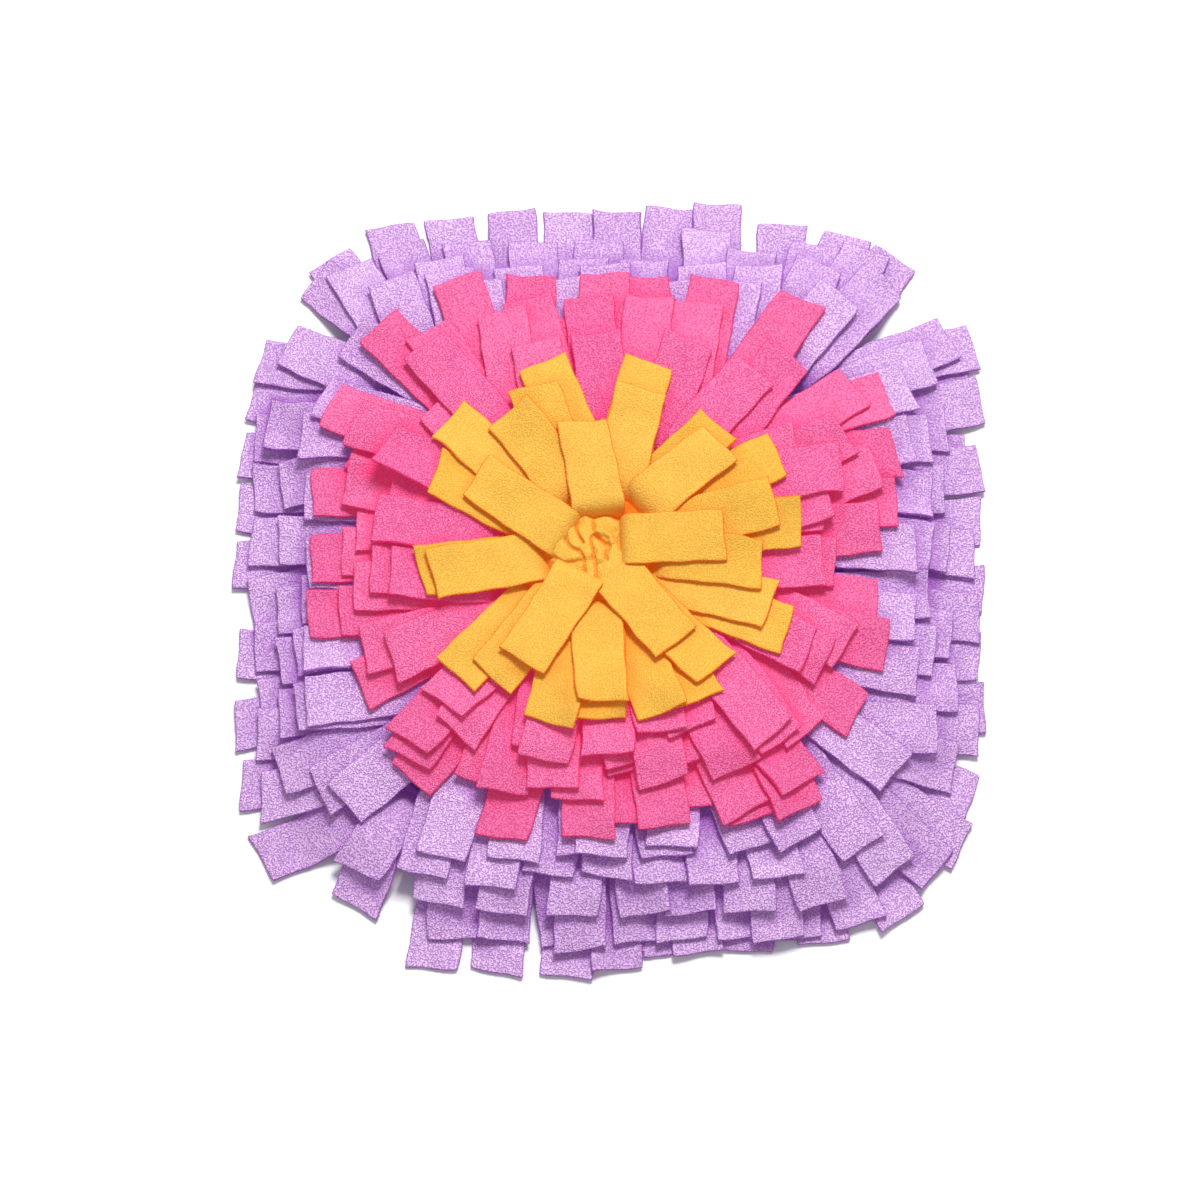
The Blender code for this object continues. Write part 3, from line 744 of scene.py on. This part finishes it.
def roundedOutline(row, margin, steps):
    # a row's root path grown by a margin
    bend = row.bend + margin
    cornerX = (row.right - row.bend, row.bend - row.left, row.bend - row.left, row.right - row.bend)
    cornerY = (row.far - row.bend, row.far - row.bend, row.bend - row.near, row.bend - row.near)
    points = []
    for corner, (middleX, middleY) in enumerate(zip(cornerX, cornerY)):
        for step in range(steps + 1):
            angle = math.radians(90 * (corner + step / steps))
            x = flower["x"] + middleX + bend * math.cos(angle)
            y = flower["y"] + middleY + bend * math.sin(angle)
            points.append((x, y))
    return points


def bandGrid(row):
    half = mat["bandWidth"] / 2
    edges = [roundedOutline(row, margin, mat["bandSteps"]) for margin in (half, -half)]
    return np.array([[(*outer, bandFloor), (*inner, bandFloor)] for outer, inner in zip(*edges)])


def storeOnPoints(mesh, name, values):
    mesh.attributes.new(name, "FLOAT", "POINT").data.foreach_set("value", values)


def sheetMesh(name, points, faces, tones, crowd):
    mesh = bpy.data.meshes.new(name)
    mesh.from_pydata([tuple(point) for point in points], [], faces)
    storeOnPoints(mesh, "stripTone", tones)
    # how deep each point lies, for the fleece's painted shade and glow
    storeOnPoints(mesh, "buriedShade", buriedShare(np.array(points) / mm, crowd))
    return mesh


# Geometry Nodes give each sheet its thickness, soften its cut edges, make its nap uneven and set loose
# fibres on the cut edges.
fleeceTreeInputs = {
    "Thickness": strips["thickness"] * mm,
    "Nap Size": 4.0 * mm,
    "Nap Depth": 0.5 * mm,
    "Fibres": 420000.0,  # on a square metre of cut edge
    "Fibre Length": 0.9 * mm,
    "Fibre Radius": 0.2 * mm,
    "Fibre Lean": 0.9,  # radians
    "Seed": 3,
}
fleeceTreeValues = {
    "weld": 0.01,  # mm between points that become one
    "softening": 1,  # rounds of subdivision
    "fibreSides": 3,
    "fibreSizes": (0.4, 1.3),  # least and most, as a share of the size given
}


def buildFleeceTree():
    tree = bpy.data.node_groups.new("fleeceSheets", "GeometryNodeTree")
    tree.interface.new_socket("Sheets", in_out="INPUT", socket_type="NodeSocketGeometry")
    for name, value in fleeceTreeInputs.items():
        kind = "NodeSocketInt" if isinstance(value, int) else "NodeSocketFloat"
        tree.interface.new_socket(name, in_out="INPUT", socket_type=kind).default_value = value
    tree.interface.new_socket("Fleece", in_out="INPUT", socket_type="NodeSocketMaterial")
    tree.interface.new_socket("Strips", in_out="OUTPUT", socket_type="NodeSocketGeometry")
    given = addNode(tree, "NodeGroupInput").outputs
    upper = addNode(
        tree, "GeometryNodeExtrudeMesh", {"mode": "FACES"}, {"Individual": False},
        {"Mesh": given["Sheets"], "Offset Scale": given["Thickness"]},
    )
    under = addNode(tree, "GeometryNodeFlipFaces", links={"Mesh": given["Sheets"]})
    both = addNode(tree, "GeometryNodeJoinGeometry")
    for part in (under, upper):
        tree.links.new(part.outputs["Mesh"], both.inputs["Geometry"])
    closed = addNode(
        tree, "GeometryNodeMergeByDistance", inputs={"Distance": fleeceTreeValues["weld"] * mm},
        links={"Geometry": both},
    )
    soft = addNode(
        tree, "GeometryNodeSubdivisionSurface", inputs={"Level": fleeceTreeValues["softening"]},
        links={"Mesh": closed},
    )
    scale = addNode(tree, "ShaderNodeMath", {"operation": "DIVIDE"}, {0: 1.0}, {1: given["Nap Size"]})
    nap = addNode(tree, "ShaderNodeTexNoise", inputs={"Detail": 1.0}, links={"Scale": scale})
    height = addNode(tree, "ShaderNodeMath", {"operation": "SUBTRACT"}, {1: 0.5}, {0: nap})
    depth = addNode(
        tree, "ShaderNodeMath", {"operation": "MULTIPLY"}, links={0: height, 1: given["Nap Depth"]}
    )
    normal = addNode(tree, "GeometryNodeInputNormal")
    offset = addNode(
        tree, "ShaderNodeVectorMath", {"operation": "SCALE"}, links={0: normal, "Scale": depth}
    )
    uneven = addNode(tree, "GeometryNodeSetPosition", links={"Geometry": soft, "Offset": offset})
    # the cut edges, spread to the points along them, for the fleece's painted shade
    marked = addNode(
        tree, "GeometryNodeStoreNamedAttribute", {"data_type": "FLOAT", "domain": "POINT"},
        {"Name": "cutEdge"}, {"Geometry": uneven, "Value": upper.outputs["Side"]},
    )
    spots = addNode(
        tree,
        "GeometryNodeDistributePointsOnFaces",
        links={
            "Mesh": uneven,
            "Selection": upper.outputs["Side"],
            "Density": given["Fibres"],
            "Seed": given["Seed"],
        },
    )
    fibre = addNode(
        tree, "GeometryNodeMeshCone", {"fill_type": "NONE"},
        {"Vertices": fleeceTreeValues["fibreSides"], "Radius Top": 0.0},
        {"Radius Bottom": given["Fibre Radius"], "Depth": given["Fibre Length"]},
    )
    negative = addNode(
        tree, "ShaderNodeMath", {"operation": "MULTIPLY"}, {1: -1.0}, {0: given["Fibre Lean"]}
    )
    most = addNode(
        tree, "ShaderNodeCombineXYZ", links={"X": given["Fibre Lean"], "Y": given["Fibre Lean"]}
    )
    least = addNode(tree, "ShaderNodeCombineXYZ", links={"X": negative, "Y": negative})
    lean = addNode(
        tree, "FunctionNodeRandomValue", {"data_type": "FLOAT_VECTOR"},
        links={0: least, 1: most, "Seed": given["Seed"]},
    )
    leanTurn = addNode(tree, "FunctionNodeEulerToRotation", links={"Euler": lean})
    turn = addNode(
        tree, "FunctionNodeRotateRotation", {"rotation_space": "LOCAL"},
        links={"Rotation": spots.outputs["Rotation"], "Rotate By": leanTurn},
    )
    smallest, largest = fleeceTreeValues["fibreSizes"]
    size = addNode(
        tree, "FunctionNodeRandomValue", {"data_type": "FLOAT"}, {2: smallest, 3: largest},
        {"Seed": given["Seed"]},
    )
    fibres = addNode(
        tree, "GeometryNodeInstanceOnPoints",
        links={"Points": spots, "Instance": fibre, "Rotation": turn, "Scale": size.outputs[1]},
    )
    whole = addNode(tree, "GeometryNodeJoinGeometry")
    for part in (marked, fibres):
        tree.links.new(part.outputs[0], whole.inputs["Geometry"])
    smooth = addNode(tree, "GeometryNodeSetShadeSmooth", links={"Geometry": whole})
    real = addNode(tree, "GeometryNodeRealizeInstances", links={"Geometry": smooth})
    painted = addNode(
        tree, "GeometryNodeSetMaterial", links={"Geometry": real, "Material": given["Fleece"]}
    )
    addNode(tree, "NodeGroupOutput", links={"Strips": painted})
    return tree


def plainMesh(source, name, material):
    # carries out an object's modifiers, keeps the result as a mesh in one material and removes the object
    bpy.context.view_layer.update()
    evaluated = source.evaluated_get(bpy.context.evaluated_depsgraph_get())
    finished = bpy.data.meshes.new_from_object(evaluated)
    source.modifiers.clear()
    bpy.data.objects.remove(source)
    finished.name = name
    finished.materials.clear()
    finished.materials.append(material)
    finished.polygons.foreach_set("material_index", [0] * len(finished.polygons))
    return finished


def finishFleece(name, mesh, material):
    # runs the tree on a row's sheets
    source = addObject(name + "Sheets", mesh)
    modifier = source.modifiers.new("fleece", "NODES")
    modifier.node_group = fleeceTree
    for item in fleeceTree.interface.items_tree:
        if item.in_out == "INPUT" and item.name == "Fleece":
            modifier[item.identifier] = material
    return addObject(name, plainMesh(source, name, material))


def makeRow(row, laid, crowd):
    points, faces, tones = [], [], []
    addGrid(points, faces, tones, bandGrid(row), mat["bandTone"], closed=True)
    for strip, whim, grid in laid:
        addGrid(points, faces, tones, modelledGrid(strip, grid), whim.tone)
    name = row.name.replace("_row_", "Row")
    piece = finishFleece(name, sheetMesh(name, points, faces, tones, crowd), fleeces[row.colour])
    print(f"{name}: {len(laid)} strips, top {max(point[2] for point in points) / mm:.1f} mm")
    return piece


def layRow(row, pile, chance):
    # each strip with its own way of lying and its draped grid
    laid = []
    for strip in rowStrips(row):
        whim = quirked(makeWhim(chance), row, strip)
        laid.append((strip, whim, layStrip(strip, whim, pile)))
    return laid


fleeceTree = buildFleeceTree()
pile = basePile()
chance = random.Random(drape["seed"])
laidRows = {row.name: layRow(row, pile, chance) for row in rows}
crowd = crowdAround(pile)
print("strips laid")
fringe = {row.name: makeRow(row, laidRows[row.name], crowd) for row in rows}


# Gathered and knotted fleece in the flower's hollow: a soft bowl that meets the near petals and lies lower
# under the far ones. Folds stand up from it and creases cut into it: each is a line of places, x and y in
# mm from the hollow's centre, with its half width and its height, less than nothing for a crease. Below the
# bowl the fleece is gathered into a stem that stands on the backing.
knot = {
    "x": -4.2,  # mm from the flower's centre to the hollow's
    "y": -1.0,
    "radius": 26.0,  # mm, to where the bowl is hidden by the strips round it
    "rim": 39.5,  # mm, height of the bowl's near edge
    "dip": 5.0,  # mm that its far edge lies lower
    "dipSlope": (0.5, 0.85),  # the way in which it gets lower, along x and y
    "dipFrom": -6.0,  # mm from the centre that way, where it starts to get lower
    "dipRun": 20.0,  # mm over which it does
    "brow": 19.0,  # mm from the centre, where the bowl turns down
    "fall": 6.5,  # mm that it falls beyond that
    "fallPower": 1.5,  # the higher the power, the rounder the brow
    "ringGap": 0.4,  # mm between the rings of points
    "sides": 180,
    "crease": 4.2,  # mm below the fleece round it, where its painted shade is deepest
    "crowd": (1.5, 3.5),  # mm, how far round a place that is measured
    "crowdTurns": 8,  # and in how many directions
    "deepest": 0.85,  # most painted shade there
    "tone": 0.6,  # lightness of the knot among the strips', from 0 to 1
    "waver": 0.7,  # mm that the folds stray from their lines
    "waverRun": 13.0,  # mm from one turn of theirs to the next
    "waverSlant": (0.4, -0.3),  # radians that those turns shift with each mm across
    # radius and height of each ring below the bowl, down to the backing
    "stem": ((30.0, 32.5), (33.0, 31.5), (33.0, 30.0), (18.0, 24.0), (6.0, 12.0), (5.0, 3.3)),
    "folds": (
        (((-11, 15.3), (-11.5, 7.8), (-7.3, 0.9)), 4.4, 1.8),
        (((-1.8, 15.5), (-3.2, 9), (-2.4, 2.7), (-2.4, -3.5)), 4.2, 2.6),
        (((5, 13.5), (9.5, 13)), 5.0, 1.6),
        (((1.8, 8.2), (6, 9), (10.2, 6.2), (9.8, 1.8)), 2.4, 3.2),
        (((3.2, 1.5), (4.4, -3), (3.4, -7.5)), 3.4, 2.6),
        (((11.5, -2.5), (13, -9), (8.5, -15)), 7.5, 2.2),
        (((-0.6, -11), (-0.9, -15), (-1.6, -20)), 4.0, 2.2),
        (((-20, 4), (-16, -3), (-8, -7)), 6.5, 2.2),
        (((-14.6, 17), (-15.6, 9), (-12.8, 2.1), (-6.7, -2.9)), 1.1, -2.2),
        (((-8.6, 18), (-7.3, 9), (-4.9, 1.5)), 1.0, -2.2),
        (((1.1, 18), (1.1, 13), (0.5, 8.5)), 1.1, -2.2),
        (((1.8, 6), (5, 4.2), (7.5, 1.5), (8.8, -2), (7.6, -7)), 1.2, -3.0),
        (((0.8, 6), (-0.2, 0), (0.4, -5), (2.0, -9)), 0.9, -2.2),
        (((-6.7, -2.9), (-3.4, -7), (-4.6, -11), (-4.4, -17)), 1.0, -2.6),
        (((2.0, -9.4), (3.0, -13), (1.2, -18)), 0.9, -2.0),
        (((-26, -4), (-17, -7.5), (-10, -9.5), (-3.4, -8)), 1.0, -2.4),
        (((-8, 19.5), (4, 19), (15, 18.5)), 3.0, -3.0),
        (((17, 13), (17, 6), (15.5, 1)), 3.5, -2.5),
    ),
}


def beyondBrow(x, y):
    # 0 inside the bowl's brow and 1 at the bowl's edge
    return np.clip((np.hypot(x, y) - knot["brow"]) / (knot["radius"] - knot["brow"]), 0.0, 1.0)


def knotHeight(x, y):
    # x and y are places measured from the hollow's centre
    slantX, slantY = knot["waverSlant"]
    x, y = (
        x + knot["waver"] * np.sin(2 * math.pi * y / knot["waverRun"] + slantX * x),
        y + knot["waver"] * np.sin(2 * math.pi * x / knot["waverRun"] + slantY * y),
    )
    ridges, creases = np.zeros_like(x), np.zeros_like(x)
    for line, halfWidth, height in knot["folds"]:
        near = np.full_like(x, np.inf)
        for (startX, startY), (endX, endY) in zip(line, line[1:]):
            runX, runY = endX - startX, endY - startY
            share = ((x - startX) * runX + (y - startY) * runY) / (runX**2 + runY**2)
            share = np.clip(share, 0.0, 1.0)
            near = np.minimum(near, np.hypot(x - startX - share * runX, y - startY - share * runY))
        profile = height * np.clip(1 - (near / halfWidth) ** 2, 0.0, 1.0)
        ridges = np.maximum(ridges, profile)
        creases = np.minimum(creases, profile)
    slopeX, slopeY = knot["dipSlope"]
    far = np.clip((slopeX * x + slopeY * y - knot["dipFrom"]) / knot["dipRun"], 0.0, 1.0)
    bowl = knot["rim"] - knot["dip"] * far
    return bowl + ridges + creases - knot["fall"] * beyondBrow(x, y) ** knot["fallPower"]


def knotCrowd(x, y, heights):
    # how far places lie below the fleece round them, and towards the bowl's edge, from 0 to 1: the share of
    # painted shade and glow
    turns = np.linspace(0.0, 2 * math.pi, knot["crowdTurns"], endpoint=False)
    steps = [(reach * math.cos(turn), reach * math.sin(turn)) for reach in knot["crowd"] for turn in turns]
    around = np.mean([knotHeight(x + stepX, y + stepY) for stepX, stepY in steps], axis=0)
    return np.clip((around - heights) / knot["crease"] + beyondBrow(x, y), 0.0, knot["deepest"])


def makeKnot():
    rings = round(knot["radius"] / knot["ringGap"])
    radii = np.linspace(0.0, knot["radius"], rings + 1)[1:, None]
    angles = np.linspace(0.0, 2 * math.pi, knot["sides"], endpoint=False)[None, :]
    x, y = radii * np.cos(angles), radii * np.sin(angles)
    heights = knotHeight(x, y)
    depths = knotCrowd(x, y, heights)
    loops = [np.stack([x, y, heights], axis=2)]
    for radius, height in knot["stem"]:
        stem = radius * np.concatenate([np.cos(angles), np.sin(angles)])
        loops.append(np.stack([*stem, np.full(knot["sides"], height)], axis=1)[None])
    grid = np.concatenate(loops).reshape(-1, 3)
    offset = np.array((flower["x"] + knot["x"], flower["y"] + knot["y"], 0.0))
    points = (grid + offset) * mm
    crown = len(points)
    top = (offset + (0.0, 0.0, heights[0].mean())) * mm
    loopCount = crown // knot["sides"]
    faces = []
    for side in range(knot["sides"]):
        after = (side + 1) % knot["sides"]
        faces.append((crown, side, after))
        for loop in range(loopCount - 1):
            inner, outer = loop * knot["sides"], (loop + 1) * knot["sides"]
            faces.append((inner + side, outer + side, outer + after, inner + after))
    faces.append(tuple(reversed(range(crown - knot["sides"], crown))))
    mesh = bpy.data.meshes.new("centreKnot")
    mesh.from_pydata([tuple(point) for point in (*points, top)], [], faces)
    mesh.shade_smooth()
    mesh.materials.append(fleeces["yellow_fleece"])
    storeOnPoints(mesh, "stripTone", np.full(len(mesh.vertices), knot["tone"]))
    # the stem, under the strips, takes painted shade and the strongest painted glow all over
    stemDepths = np.ones(crown - depths.size)
    storeOnPoints(mesh, "buriedShade", np.concatenate([depths.ravel(), stemDepths, depths[0, :1]]))
    return addObject("centreKnot", mesh)


fringe["centre_knot"] = makeKnot()
print("centre knot made")


def makeBacking():
    outline = roundedOutline(rows[0], mat["backingMargin"], mat["cornerSteps"])
    mesh = bpy.data.meshes.new("backingMat")
    mesh.from_pydata([(x * mm, y * mm, 0.0) for x, y in outline], [], [range(len(outline))])
    source = addObject("backingMatOutline", mesh)
    thick = source.modifiers.new("thick", "SOLIDIFY")
    thick.thickness = mat["backing"] * mm
    thick.offset = 1.0
    edge = source.modifiers.new("edge", "BEVEL")
    edge.width = mat["edgeBevel"] * mm
    edge.segments = mat["edgeSegments"]
    return addObject("backingMat", plainMesh(source, "backingMat", felt))


backing = makeBacking()
print("backing made")

for node, piece in fringe.items():
    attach(piece, "root")
    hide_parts(node)
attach(backing, "root")
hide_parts("backing_mat")

# Floor and lights
studio = {
    "floor": "#f0eef2",
    "floorSize": 30.0,  # m
    "floorRoughness": 0.9,
    "sky": "#ffffff",
    "skyStrength": 0.47,
    "keyPower": 33.5,  # W
    "keySize": 0.45,  # m
    "keyPlace": (0.15, 0.7, 1.6),
}


def makeStudio():
    half = studio["floorSize"] / 2
    corners = [(-half, -half, 0), (half, -half, 0), (half, half, 0), (-half, half, 0)]
    mesh = bpy.data.meshes.new("studioFloor")
    mesh.from_pydata(corners, [], [(0, 1, 2, 3)])
    paper = bpy.data.materials.new("mattPaper")
    paper.use_nodes = True
    shader = paper.node_tree.nodes["Principled BSDF"]
    shader.inputs["Base Color"].default_value = linear(studio["floor"])
    shader.inputs["Roughness"].default_value = studio["floorRoughness"]
    mesh.materials.append(paper)
    floor = addObject("studioFloor", mesh)
    world = bpy.data.worlds.new("studioSky")
    world.use_nodes = True
    sky = world.node_tree.nodes["Background"]
    sky.inputs["Color"].default_value = linear(studio["sky"])
    sky.inputs["Strength"].default_value = studio["skyStrength"]
    bpy.context.scene.world = world
    data = bpy.data.lights.new("keyLight", "AREA")
    data.energy = studio["keyPower"]
    data.size = studio["keySize"]
    key = addObject("keyLight", data)
    key.location = studio["keyPlace"]
    key.rotation_euler = (-Vector(studio["keyPlace"])).to_track_quat("-Z", "Y").to_euler()
    bpy.context.scene.view_settings.view_transform = "Standard"


makeStudio()
print("studio lit")
